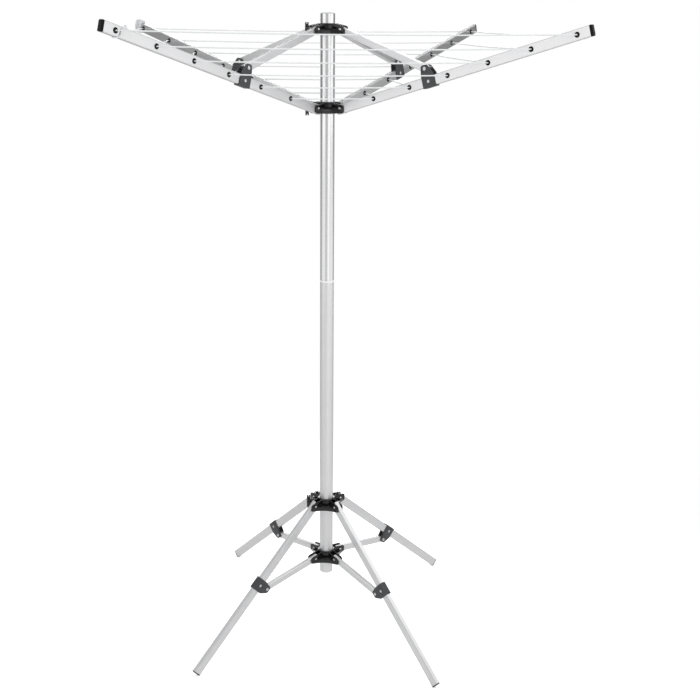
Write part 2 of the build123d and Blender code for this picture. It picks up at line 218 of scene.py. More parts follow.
@dataclass(frozen=True)
class Finish:
    """A material from its common name: colours, gloss, and a pattern sized in millimetres."""

    name: str
    colour: str
    second: str
    metallic: float
    roughness: float
    rough_spread: float
    grain_mm: float
    stretch: float = 1.0
    bump: float = 0.05
    bump_mm: float = 0.05
    blotch_mm: float = 60.0
    sheen: float = 0.5
    streak: float = 0.3

    def material(self, lie: tuple[float, float, float] = (0.0, 0.0, 0.0)) -> bpy.types.Material:
        """Builds or fetches the material.

        Fine noise of the grain's size varies the roughness and lifts the surface a little;
        slow noise, with a share of the grain, moves the colour between the two hex values. A
        stretch above one draws the grain out along the piece, turned to lie along it.

        Args:
            lie: Euler angles in radians that turn the pattern's X axis along the piece.

        Returns:
            The Blender material.
        """
        key = self.name
        if any(lie):
            key += "_%d_%d" % tuple(round(math.degrees(a)) for a in lie[1:])
        found = bpy.data.materials.get(key)
        if found:
            return found
        made = bpy.data.materials.new(key)
        made.use_nodes = True
        tree = made.node_tree
        tree.nodes.clear()
        where = add_node(tree, "ShaderNodeTexCoord")
        laid = add_node(
            tree,
            "ShaderNodeMapping",
            {"Rotation": Euler(lie).to_matrix().inverted().to_euler()},
            {"Vector": where.outputs["Object"]},
        )
        drawn = add_node(
            tree,
            "ShaderNodeMapping",
            {"Scale": (1.0 / self.stretch, 1.0, 1.0)},
            {"Vector": laid.outputs["Vector"]},
        )
        grain = add_node(
            tree,
            "ShaderNodeTexNoise",
            {"Scale": 1.0 / (self.grain_mm * MM), "Detail": 3.0, "Roughness": 0.6},
            {"Vector": drawn.outputs["Vector"]},
        )
        blotch = add_node(
            tree,
            "ShaderNodeTexNoise",
            {"Scale": 1.0 / (self.blotch_mm * MM), "Detail": 2.0},
            {"Vector": where.outputs["Object"]},
        )
        share = add_node(
            tree,
            "ShaderNodeMix",
            {"Factor": self.streak},
            {2: blotch.outputs["Fac"], 3: grain.outputs["Fac"]},
        )
        tint = add_node(
            tree,
            "ShaderNodeMix",
            {"data_type": "RGBA", 6: linear(self.colour), 7: linear(self.second)},
            {"Factor": share.outputs[0]},
        )
        rough = add_node(
            tree,
            "ShaderNodeMapRange",
            {
                "From Min": 0.3,
                "From Max": 0.7,
                "To Min": max(self.roughness - self.rough_spread, 0.02),
                "To Max": self.roughness + self.rough_spread,
            },
            {"Value": grain.outputs["Fac"]},
        )
        lifted = add_node(
            tree,
            "ShaderNodeBump",
            {"Strength": self.bump, "Distance": self.bump_mm * MM},
            {"Height": grain.outputs["Fac"]},
        )
        shader = add_node(
            tree,
            "ShaderNodeBsdfPrincipled",
            {"Metallic": self.metallic, "Specular IOR Level": self.sheen},
            {
                "Base Color": tint.outputs[2],
                "Roughness": rough.outputs["Result"],
                "Normal": lifted.outputs["Normal"],
            },
        )
        add_node(tree, "ShaderNodeOutputMaterial", None, {"Surface": shader.outputs["BSDF"]})
        return made


# Real draw lines and moulded grain are some tenths of a millimetre across. The grain here is drawn
# coarser, at 0.8 to 2.5 mm, because finer grain doesn't show in the render.

# The upper mast, drawn and bright anodised aluminium: clear bands with faint lines along the tube.
BRIGHT = Finish(
    "bright_aluminium", "#dbdbdc", "#d2d2d3", metallic=0.9, roughness=0.21, rough_spread=0.01,
    grain_mm=2.4, stretch=60.0, bump=0.01, bump_mm=0.02,
)
# Arms, struts and legs, extruded and satin anodised: soft, even reflections on flat faces.
SATIN = Finish(
    "satin_aluminium", "#d4d4d5", "#cbcbcc", metallic=0.9, roughness=0.32, rough_spread=0.02,
    grain_mm=2.4, stretch=60.0, bump=0.01, bump_mm=0.02,
)
# The lower mast, etched longer: the same metal with a duller, flatter face.
ETCHED = Finish(
    "etched_aluminium", "#dcdcdd", "#d5d5d6", metallic=0.8, roughness=0.46, rough_spread=0.04,
    grain_mm=1.8, stretch=60.0, bump=0.02, bump_mm=0.02,
)
# Gloss black ABS, injection moulded: deep black with sharp soft-box glints.
BLACK_ABS = Finish(
    "gloss_black_abs", "#070708", "#0c0c0d", metallic=0.0, roughness=0.1, rough_spread=0.03,
    grain_mm=2.5, bump=0.02, bump_mm=0.03, sheen=0.4,
)
# Glass-filled nylon, moulded with a fine spark finish: charcoal and dull.
NYLON = Finish(
    "charcoal_nylon", "#2e2f31", "#38393b", metallic=0.0, roughness=0.46, rough_spread=0.08,
    grain_mm=1.2, bump=0.15,
)
# Black polythene, moulded: softer sheen than the hubs.
POLYTHENE = Finish(
    "black_polythene", "#070708", "#0d0d0e", metallic=0.0, roughness=0.4, rough_spread=0.08,
    grain_mm=1.5, bump=0.1, sheen=0.12,
)
# Zinc-plated steel rivets, set cold: bright with fine scuffs.
ZINC = Finish(
    "zinc_steel", "#c9cacb", "#b5b6b8", metallic=1.0, roughness=0.28, rough_spread=0.1,
    grain_mm=0.8, bump=0.1, bump_mm=0.03,
)
# PVC-covered line, extruded: white and slightly soft.
PVC = Finish(
    "white_pvc", "#dcdedf", "#d2d5d6", metallic=0.0, roughness=0.42, rough_spread=0.06,
    grain_mm=1.0, bump=0.08,
)
# Acetal bush, moulded: plain white.
ACETAL = Finish(
    "white_acetal", "#f4f4f2", "#ebebe8", metallic=0.0, roughness=0.35, rough_spread=0.05,
    grain_mm=1.5, bump_mm=0.04,
)
# Grey polypropylene cap, moulded.
GREY_PP = Finish(
    "grey_polypropylene", "#c4c6c8", "#b9bbbd", metallic=0.0, roughness=0.4, rough_spread=0.06,
    grain_mm=1.5, bump=0.08,
)


class Shell:
    """Collects surface grids and flat faces in millimetres and makes one mesh of them."""

    def __init__(self) -> None:
        """Starts empty."""
        self.points: list[np.ndarray] = []
        self.faces: list[list[int]] = []
        self.count = 0

    def grid(self, points: np.ndarray, wrap_u: bool = False, wrap_v: bool = False) -> Shell:
        """Adds a grid of points as quads.

        Args:
            points: array of shape (u, v, 3).
            wrap_u: joins the last row to the first.
            wrap_v: joins the last column to the first.

        Returns:
            This shell.
        """
        rows, columns = points.shape[:2]
        index = np.arange(rows * columns).reshape(rows, columns) + self.count
        if wrap_u:
            index = np.vstack([index, index[:1]])
        if wrap_v:
            index = np.hstack([index, index[:, :1]])
        quads = np.stack([index[:-1, :-1], index[1:, :-1], index[1:, 1:], index[:-1, 1:]], -1)
        self.points.append(points.reshape(-1, 3))
        self.faces += quads.reshape(-1, 4).tolist()
        self.count += rows * columns
        return self

    def flat(self, ring: np.ndarray) -> Shell:
        """Adds one flat face with many corners.

        Args:
            ring: its corners in order, shape (n, 3).

        Returns:
            This shell.
        """
        self.points.append(ring)
        self.faces.append(list(range(self.count, self.count + len(ring))))
        self.count += len(ring)
        return self

    def build(
        self,
        name: str,
        finish: bpy.types.Material,
        body: str,
        stands_for: tuple[str, ...] = (),
        slot: str = "",
        crease: float = 35.0,
    ) -> bpy.types.Object:
        """Makes the object, closes its seams and gives it to a body.

        Args:
            name: the piece's name.
            finish: its material.
            body: the body that it rides on.
            stands_for: the nodes that it replaces.
            slot: the record's material slot; not used.
            crease: edges sharper than this many degrees stay sharp.

        Returns:
            The new object.
        """
        mesh = bpy.data.meshes.new(name)
        mesh.from_pydata((np.vstack(self.points) * MM).tolist(), [], self.faces)
        work = bmesh.new()
        work.from_mesh(mesh)
        bmesh.ops.remove_doubles(work, verts=work.verts, dist=1e-6)
        bmesh.ops.dissolve_degenerate(work, edges=work.edges, dist=1e-7)
        bmesh.ops.recalc_face_normals(work, faces=work.faces)
        work.to_mesh(mesh)
        work.free()
        mesh.shade_smooth()
        mesh.set_sharp_from_angle(angle=math.radians(crease))
        mesh.materials.append(finish)
        made = bpy.data.objects.new(name, mesh)
        bpy.context.scene.collection.objects.link(made)
        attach(made, body)
        if stands_for:
            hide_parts(*stands_for)
        LOG.info("%s rides on %s, %d faces", name, body, len(mesh.polygons))
        return made


def turned(profile: np.ndarray, frame: np.ndarray, sides: int = 64) -> np.ndarray:
    """Turned surface: each profile point (r, s) goes round the frame's Z axis at height s.

    Args:
        profile: points (r, s), shape (n, 2).
        frame: the placement whose Z axis it is turned about.
        sides: how many steps go round.

    Returns:
        Grid of shape (n, sides, 3).
    """
    angle = np.linspace(0, 2 * np.pi, sides, endpoint=False)
    radius, height = profile[:, 0][:, None], profile[:, 1][:, None]
    ring = [radius * np.cos(angle), radius * np.sin(angle), height + 0 * angle]
    return placed(frame, np.stack(ring, -1))


def swept(path: np.ndarray, radius: np.ndarray | float, sides: int, lean: np.ndarray) -> np.ndarray:
    """Round section carried along a path: point = path + radius (cos a across + sin a up).

    Args:
        path: the points that it follows, shape (n, 3).
        radius: one radius, or one for each point.
        sides: how many steps go round.
        lean: direction that the section's up is squared up from.

    Returns:
        Grid of shape (n, sides, 3).
    """
    along = np.gradient(path, axis=0)
    along /= np.linalg.norm(along, axis=1, keepdims=True)
    across = np.cross(along, lean)
    across /= np.linalg.norm(across, axis=1, keepdims=True)
    up = np.cross(across, along)
    angle = np.linspace(0, 2 * np.pi, sides, endpoint=False)[None, :, None]
    size = np.broadcast_to(radius, (len(path),))[:, None, None]
    spoke = np.cos(angle) * across[:, None] + np.sin(angle) * up[:, None]
    return path[:, None] + size * spoke


def rounded(corners: list[tuple[float, float, float]], steps: int = 7) -> np.ndarray:
    """Closed outline in which each corner B is the curve (1-u)^2 A + 2u(1-u) B + u^2 C.

    Args:
        corners: (x, z, ease) each, where ease is how far A and C lie from the corner.
        steps: points on each curve.

    Returns:
        The outline's points, shape (n, 2).
    """
    spec = np.array(corners, float)
    spot, ease = spec[:, :2], spec[:, 2:]
    to_last = np.roll(spot, 1, 0) - spot
    to_next = np.roll(spot, -1, 0) - spot
    start = spot + to_last / np.linalg.norm(to_last, axis=1, keepdims=True) * ease
    end = spot + to_next / np.linalg.norm(to_next, axis=1, keepdims=True) * ease
    u = np.linspace(0, 1, steps)[None, :, None]
    curve = (1 - u) ** 2 * start[:, None] + 2 * u * (1 - u) * spot[:, None] + u**2 * end[:, None]
    return curve.reshape(-1, 2)


def oblong(half_w: float, half_h: float, ease: float) -> np.ndarray:
    """Outline of a rectangle about its middle, from its half sizes and its corners' ease."""
    signs = ((-1, -1), (1, -1), (1, 1), (-1, 1))
    return rounded([(x * half_w, z * half_h, ease) for x, z in signs])


def plate(outline: np.ndarray, thickness: float, edge: float, steps: int = 4) -> np.ndarray:
    """Rings of a plate in the XZ plane, thick in Y, with its rims rounded by a quarter circle.

    Args:
        outline: its outline (x, z), shape (n, 2).
        thickness: how thick it is.
        edge: radius of its rims.
        steps: rings on each rim.

    Returns:
        Grid of shape (2 steps, n, 3), from its face at low Y to its face at high Y.
    """
    along = np.roll(outline, -1, 0) - np.roll(outline, 1, 0)
    normal = np.stack([along[:, 1], -along[:, 0]], -1)
    (x, z), (next_x, next_z) = outline.T, np.roll(outline, -1, 0).T
    area = np.sum(x * next_z - next_x * z)
    normal *= np.sign(area) / np.maximum(np.linalg.norm(normal, axis=1, keepdims=True), 1e-9)
    angle = np.linspace(0, np.pi / 2, steps)
    inset = np.concatenate([edge * (1 - np.sin(angle)), edge * (1 - np.sin(angle[::-1]))])
    height = thickness / 2 - edge + edge * np.cos(angle)
    height = np.concatenate([-height, height[::-1]])
    flat = outline[None] - inset[:, None, None] * normal[None]
    y = np.broadcast_to(height[:, None], flat.shape[:2])
    return np.stack([flat[..., 0], y, flat[..., 1]], -1)


def add_plate(
    shell: Shell, frame: np.ndarray, outline: np.ndarray, thickness: float, edge: float
) -> None:
    """Adds a plate with rounded rims and its two flat faces to a shell."""
    rings = placed(frame, plate(outline, thickness, edge))
    shell.grid(rings, wrap_v=True).flat(rings[0]).flat(rings[-1][::-1])


def rivet_head(
    inner: float, seat: float, shank: float = 3.5, head: float = 4.8, dome: float = 1.9
) -> np.ndarray:
    """Profile (r, s) of a half rivet: its shank, then a quarter ellipse for a dome on a short rim.

    Args:
        inner: where the shank begins.
        seat: where the head sits.
        shank: radius of the shank.
        head: radius of the head.
        dome: height of the dome.

    Returns:
        The profile's points, shape (n, 2).
    """
    a = np.linspace(0.15, np.pi / 2, 7)
    cap = np.stack([head * np.cos(a), seat + 0.25 + dome * np.sin(a)], -1)
    cap[-1, 0] = 0.0
    start = [(0.0, inner), (shank, inner), (shank, seat), (head - 0.1, seat), (head, seat + 0.2)]
    return np.vstack([start, cap])


@dataclass
class Mast:
    """The two mast tubes, the bush between them and the cap."""

    rim: float = 0.4
    spigot: float = 60.0
    spigot_wall: float = 3.0
    spigot_fit: float = 0.3
    flange_ease: float = 0.6
    cap_dome: float = 4.0
    cap_plug: float = 18.0
    sides: int = 96

    def section(self, low: float, high: float) -> np.ndarray:
        """Wall section of a tube, its four rims eased and its groove cut where it has one.

        Args:
            low: height of its lower end.
            high: height of its upper end.

        Returns:
            A closed loop of (r, z), shape (n, 2).
        """
        outer, inner, e = SIZE.mast_r, SIZE.mast_r - SIZE.mast_wall, self.rim
        stations = np.linspace(low + e, high - e, 9)
        sides = [(outer, z) for z in stations]
        if low < SIZE.groove_z < high:
            deep, top = outer - SIZE.groove_depth, SIZE.groove_z + SIZE.groove
            sides += [(outer, SIZE.groove_z), (deep, SIZE.groove_z), (deep, top), (outer, top)]
            sides.sort(key=lambda spot: (spot[1], spot[1] > SIZE.groove_z and spot[0]))
        back = [(inner, z) for z in stations[::-1]]
        ends = [(outer - e, high), (inner + e, high)]
        return np.array([(outer - e, low), *sides, *ends, *back, (inner + e, low)])

    def tubes(self) -> None:
        """Makes the two tubes, their walls turned round the mast's axis."""
        half = SIZE.bush_flange / 2
        upright = (0.0, math.radians(-90), 0.0)
        low_end, high_end = SIZE.mast_joint - half, SIZE.mast_joint + half + SIZE.bush_fit
        spans = {
            "lower_mast": (SIZE.mast_bottom, low_end, "base_mast", ETCHED),
            "upper_mast": (high_end, SIZE.mast_top, "head_mast", BRIGHT),
        }
        for node, (low, high, body, finish) in spans.items():
            grid = turned(self.section(low, high), np.eye(4), self.sides)
            tube = Shell().grid(grid, True, True)
            tube.build(node + "_skin", finish.material(upright), body, (node,), "aluminium")

    def bore(self) -> float:
        """Radius of what goes into the tubes: the bush's spigot and the cap's plug."""
        return SIZE.mast_r - SIZE.mast_wall - self.spigot_fit

    def bush(self) -> None:
        """Makes the bush: a thin flange between the tubes, with a spigot up and down into them."""
        bore = self.bore()
        low, high = SIZE.mast_joint - SIZE.bush_flange / 2, SIZE.mast_joint + SIZE.bush_flange / 2
        inner, outer, ease = bore - self.spigot_wall, SIZE.mast_r, self.flange_ease
        brim = outer - ease / 2
        loop = [(inner, low - self.spigot), (bore, low - self.spigot), (bore, low), (brim, low)]
        loop += [(outer, low + ease), (outer, high - ease), (brim, high), (bore, high)]
        loop += [(bore, high + self.spigot), (inner, high + self.spigot)]
        ring = Shell().grid(turned(np.array(loop), np.eye(4), self.sides), True, True)
        ring.build("bush_ring", ACETAL.material(), "base_mast", ("mast_bush",), "white_plastic")

    def cap(self) -> None:
        """Makes the cap: a dome z = top + rise sin(a) over r = R cos(a), with a plug below it."""
        bore = self.bore()
        a = np.linspace(np.pi / 2, 0.12, 14)
        top, foot = SIZE.mast_top, SIZE.mast_top - self.cap_plug
        dome = np.stack([SIZE.mast_r * np.cos(a), top + self.cap_dome * np.sin(a)], -1)
        dome[0, 0] = 0.0
        plug = [(SIZE.mast_r, top), (bore, top), (bore, foot), (0.0, foot)]
        cap = Shell().grid(turned(np.vstack([dome, plug]), np.eye(4), self.sides), False, True)
        cap.build("domed_cap", GREY_PP.material(), "head_mast", ("mast_cap",), "grey_plastic")

    def build(self) -> None:
        """Makes the tubes, the bush and the cap."""
        self.tubes()
        self.bush()
        self.cap()


@dataclass
class WingScrew:
    """A hub's clamp screw: two wings with a narrower core between them, on a boss and a stem."""

    node: str
    frame: np.ndarray
    base: float
    boss_r: float
    boss_length: float = 13.0
    stem_r: float = 3.0
    stem_end: float = 19.2
    wing_half_w: float = 3.75
    wing_half_h: float = 19.0
    wing_t: float = 3.6
    wing_ease: float = 3.4
    wing_edge: float = 1.2
    wing_first: float = 5.8
    wing_pitch: float = 5.4
    core_half_w: float = 3.4
    core_half_h: float = 14.5
    core_t: float = 4.0
    core_ease: float = 1.0
    core_edge: float = 0.4

    def build(self) -> None:
        """Makes the wings and their core as plates, and turns the boss and stem as one profile."""
        work = Shell()
        across = self.frame @ turn("z", -90)
        wing = oblong(self.wing_half_w, self.wing_half_h, self.wing_ease)
        for out in (self.wing_first, self.wing_first + self.wing_pitch):
            spot = across @ shift(0, self.base + out, 0)
            add_plate(work, spot, wing, self.wing_t, self.wing_edge)
        middle = self.base + self.wing_first + self.wing_pitch / 2
        core = oblong(self.core_half_w, self.core_half_h, self.core_ease)
        add_plate(work, across @ shift(0, middle, 0), core, self.core_t, self.core_edge)
        r, low, high = self.boss_r, self.base, self.base + self.boss_length
        stem, end = self.stem_r, self.stem_end
        profile = [(0.0, end), (stem - 0.6, end), (stem, end + 0.6), (stem, low), (r - 1.2, low)]
        profile += [(r, low + 1.2), (r, high - 1.2), (r - 0.5, high - 0.3), (r - 1.6, high)]
        profile.append((0.0, high))
        work.grid(turned(np.array(profile), self.frame @ turn("y", 90), 40), False, True)
        finish = BLACK_ABS.material()
        work.build(self.node + "_wing", finish, self.node, (self.node,), "black_gloss")


@dataclass
class Hub:
    """One four-slot hub moulding with its rivets, and its wing screw where it has one."""

    node: str
    rivet_node: str
    body: str
    height: float
    turned_by: float
    through: bool
    ear_reach: float
    knob_node: str = ""
    collar_r: float = 25.0
    bore_r: float = 19.3
    rise: float = 16.5
    drop: float = 13.0
    ear_t: float = 3.0
    ear_rise: float = 10.0
    ear_drop: float = 10.5
    ear_edge: float = 0.9
    ear_below_rim: float = 0.4
    waist_r: float = 39.0
    scoop_r: float = 68.0
    web_drop: float = 11.0
    web_inset: float = 6.0
    web_below_rim: float = 0.6
    web_slope: float = 0.1
    lip: float = 12.0
    crest: float = 4.5
    brow: float = 2.0
    brow_ease: float = 0.8
    toe: float = 1.0
    bite: float = 2.0
    clamp_turn: float = 135.0
    clamp_r: float = 44.0
    clamp_gap: float = 0.5
    boss_r: float = 7.5

    def web(self) -> np.ndarray:
        """Web between two ears on its bisector: concave outer wall, steep top, flat floor.

        The wall lies on a circle outside the hub: rho = C cos(phi) - sqrt(R^2 - C^2 sin^2(phi)),
        and stops short of the ears' tips: rho cos(pi/4 - |phi|) is at most the tip less an inset.
        Each row goes round one section, and phi runs to the middle of the ears at each radius.

        Returns:
            Grid of shape (across, section, 3) in the bisector's frame.
        """
        across = np.linspace(-1, 1, 33)[:, None]
        reach = self.waist_r + self.scoop_r
        mid_ear = SIZE.slot_w / 2 + self.ear_t / 2
        wall = np.full_like(across, self.waist_r)
        end = SIZE.pivot_r + self.ear_reach - self.web_inset
        for _ in range(12):
            phi = across * (np.pi / 4 - np.arcsin(mid_ear / wall))
            wall = reach * np.cos(phi) - np.sqrt(self.scoop_r**2 - (reach * np.sin(phi)) ** 2)
            wall = np.minimum(wall, end / np.cos(np.pi / 4 - np.abs(phi)))
        share = np.array([0, 0.5, 0.97, 1, 1, 1, 0.97, 0.8, 0.6, 0.4, 0.2, 0])[None, :]
        rho = (self.collar_r - self.bite) + (wall - self.collar_r + self.bite) * share
        phi = across * (np.pi / 4 - np.arcsin(mid_ear / rho))
        u, v = rho * np.cos(phi), rho * np.sin(phi)
        root = (self.bore_r + self.collar_r) / 2
        fall = self.crest - self.lip + self.web_drop
        steep = self.crest - (u - root) * fall / (self.waist_r - root)
        brink = self.lip - self.web_drop - self.web_slope * (u - self.waist_r)
        top = np.minimum(np.maximum(steep, brink), self.rise - self.web_below_rim)
        low = -self.web_drop + 0 * u
        z = np.where(np.arange(share.size)[None, :] < 3, low, top)
        z[:, 3] = low[:, 3] + self.toe
        z[:, 4] = top[:, 4] - self.brow
        z[:, 5] = top[:, 5] - self.brow_ease
        return np.stack([u, v, z], -1)

    def build(self) -> None:
        """Makes the moulding, its rivets and its wing screw."""
        frame = shift(0, 0, self.height) @ turn("z", self.turned_by)
        work = Shell()
        c, r, d, b = self.collar_r, self.rise, self.drop, self.bore_r
        loop = [(b, -d), (c - 1.0, -d), (c - 0.3, -d + 0.3), (c, -d + 1.0), (c, r - 1.2)]
        loop += [(c - 0.35, r - 0.35), (c - 1.2, r), (b + 0.6, r), (b, r - 0.6)]
        work.grid(turned(np.array(loop), frame, 72), True, True)
        tip, root, crown = SIZE.pivot_r + self.ear_reach, c - 3, r - self.ear_below_rim
        ear = rounded(
            [
                (root, -self.ear_drop, 0.5),
                (tip, -self.ear_drop, 4.5),
                (tip, self.ear_rise, 7.0),
                (c, crown, 2.0),
                (root, crown, 0.5),
            ]
        )
        for k in range(4):
            slot = frame @ turn("z", 90 * k)
            for side in Side:
                off = side.value * (SIZE.slot_w / 2 + self.ear_t / 2)
                add_plate(work, slot @ shift(0, off, 0), ear, self.ear_t, self.ear_edge)
            grid = placed(slot @ turn("z", 45), self.web())
            work.grid(grid, wrap_v=True).flat(grid[0][::-1]).flat(grid[-1])
        clamp = frame @ turn("z", self.clamp_turn)
        if self.knob_node:
            wide, low, high = self.boss_r, c - self.bite, self.clamp_r
            boss = [(0.0, low), (wide, low), (wide, high - 0.8), (wide - 0.8, high), (0.0, high)]
            work.grid(turned(np.array(boss), clamp @ turn("y", 90), 40), False, True)
        finish = BLACK_ABS.material()
        work.build(self.node + "_moulding", finish, self.body, (self.node,), "black_gloss")
        self.rivets(frame)
        if self.knob_node:
            WingScrew(self.knob_node, clamp, self.clamp_r + self.clamp_gap, self.boss_r).build()

    def rivets(self, frame: np.ndarray) -> None:
        """Domed rivets at the pivots: right across a fixed hub, one in each ear of a sliding one.

        Args:
            frame: the hub's placement.
        """
        work = Shell()
        half = SIZE.slot_w / 2 + self.ear_t
        profile = rivet_head(0.0 if self.through else half - self.ear_t, half)
        for k in range(4):
            pivot = frame @ turn("z", 90 * k) @ shift(SIZE.pivot_r, 0, 0)
            for side in Side:
                out = pivot @ turn("x", -90 * side.value)
                work.grid(turned(profile, out, 28), False, True)
        node = self.rivet_node
        work.build(node + "_domed", ZINC.material(), self.body, (node,), "steel")


@dataclass
class Bracket:
    """U bracket with its pivot rivet, and the rivet heads that fix it to the tube."""

    node: str
    pin_node: str
    body: str
    frame: np.ndarray
    length: float = 36.0
    plate_t: float = 2.5
    fit: float = 0.05
    fix_depth: float = 2.0
    shift_x: float = 4.0
    shoulder: float = 16.0
    nose: float = 9.0

    def build(self) -> None:
        """Makes the two cheeks, the saddle under the tube and the rivets."""
        work = Shell()
        half, floor = self.length / 2, -SIZE.tube_h / 2 - self.fit
        tip = SIZE.bracket_reach + self.nose
        x = self.shift_x
        cheek = rounded(
            [
                (x - half, floor - self.plate_t, 1.2),
                (x + half, floor - self.plate_t, 1.2),
                (x + half, self.shoulder, 5.0),
                (self.nose, tip, 6.0),
                (-self.nose, tip, 6.0),
                (x - half, self.shoulder, 3.0),
            ]
        )
        off = SIZE.tube_w / 2 + self.fit + self.plate_t / 2
        for side in Side:
            add_plate(work, self.frame @ shift(0, side.value * off, 0), cheek, self.plate_t, 0.6)
        ends = ((x - half, -off), (x + half, -off), (x + half, off), (x - half, off))
        saddle = rounded([(*end, 0.8) for end in ends], 4)
        flat = self.frame @ shift(0, 0, floor - self.plate_t / 2) @ turn("x", 90)
        add_plate(work, flat, saddle, self.plate_t, 0.4)
        work.build(self.node + "_moulding", NYLON.material(), self.body, (self.node,), "charcoal")
        pins = Shell()
        seat = off + self.plate_t / 2
        for side in Side:
            out = self.frame @ shift(0, 0, SIZE.bracket_reach) @ turn("x", -90 * side.value)
            pins.grid(turned(rivet_head(0.0, seat), out, 28), False, True)
            fix = self.frame @ shift(x, 0, 0) @ turn("x", -90 * side.value)
            small = rivet_head(seat - self.fix_depth, seat, shank=2.5, head=4.0, dome=1.5)
            pins.grid(turned(small, fix, 24), False, True)
        pins.build(self.pin_node + "_rivets", ZINC.material(), self.body, (self.pin_node,), "steel")


@dataclass
class Arm:
    """One head arm: its tube and cap keep their solids, and it gets eyelets and a bracket."""

    corner: Corner
    eyelet_r: float = 5.5
    eyelet_bore: float = 2.2
    eyelet_lip: float = 1.2
    lip_spread: float = 0.4
    throat: float = 1.5

    def eyelets(self) -> None:
        """Black bushes, each one turned loop: half an ellipse on each face, and a flared bore."""
        number = self.corner.value
        work = Shell()
        half, r, b = SIZE.tube_w / 2, self.eyelet_r, self.eyelet_bore
        a = np.linspace(0, np.pi, 9)
        mid, wide = (r + b) / 2 + self.lip_spread, (r - b) / 2 + self.lip_spread
        crown = np.stack([mid + wide * np.cos(a), half + self.eyelet_lip * np.sin(a)], -1)
        bore = [(b, half - self.throat), (b, -half + self.throat)]
        loop = np.vstack([crown, bore, crown[::-1] * (1, -1), [(r, -half), (r, half)]])
        for along in SIZE.stations():
            place = SIZE.arm(self.corner) @ shift(along, 0, 0) @ turn("x", 90)
            work.grid(turned(loop, place, 32), True, True)
        node = f"arm_eyelets_{number}"
        work.build(node + "_lips", POLYTHENE.material(), f"arm_{number}", (node,), "black_matte")

    def build(self, nodes: dict[str, bpy.types.Object]) -> None:
        """Dresses the arm's nodes and makes its eyelets and bracket.

        Args:
            nodes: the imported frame's objects by node name.
        """
        number = self.corner.value
        heading = math.radians(self.corner.azimuth(SIZE.arm_turn))
        rise, fall = math.radians(-SIZE.arm_rise), math.radians(SIZE.strut_fall)
        dress(nodes[f"arm_tube_{number}"], SATIN.material((0.0, rise, heading)))
        dress(nodes[f"arm_cap_{number}"], POLYTHENE.material())
        dress(nodes[f"strut_{number}"], SATIN.material((0.0, fall, heading)))
        place = SIZE.arm(self.corner) @ shift(SIZE.arm_bracket, 0, 0)
        Bracket(f"arm_bracket_{number}", f"arm_pin_{number}", f"arm_{number}", place).build()
        self.eyelets()


@dataclass
class Leg:
    """One leg: its tube and foot keep their solids, and it gets a bracket."""

    corner: Corner

    def build(self, nodes: dict[str, bpy.types.Object]) -> None:
        """Dresses the leg's nodes and makes its bracket.

        Args:
            nodes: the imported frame's objects by node name.
        """
        number = self.corner.value
        heading = math.radians(self.corner.azimuth(SIZE.leg_turn))
        drop, fall = math.radians(SIZE.leg_drop), math.radians(SIZE.leg_strut_fall)
        dress(nodes[f"leg_tube_{number}"], SATIN.material((0.0, drop, heading)))
        dress(nodes[f"leg_foot_{number}"], POLYTHENE.material())
        dress(nodes[f"leg_strut_{number}"], SATIN.material((0.0, fall, heading)))
        place = SIZE.leg(self.corner) @ shift(SIZE.leg_bracket, 0, 0)
        Bracket(f"leg_bracket_{number}", f"leg_pin_{number}", f"leg_{number}", place).build()


def dress(node: bpy.types.Object, finish: bpy.types.Material) -> None:
    """Gives a carried-over solid its material."""
    node.data.materials.clear()
    node.data.materials.append(finish)


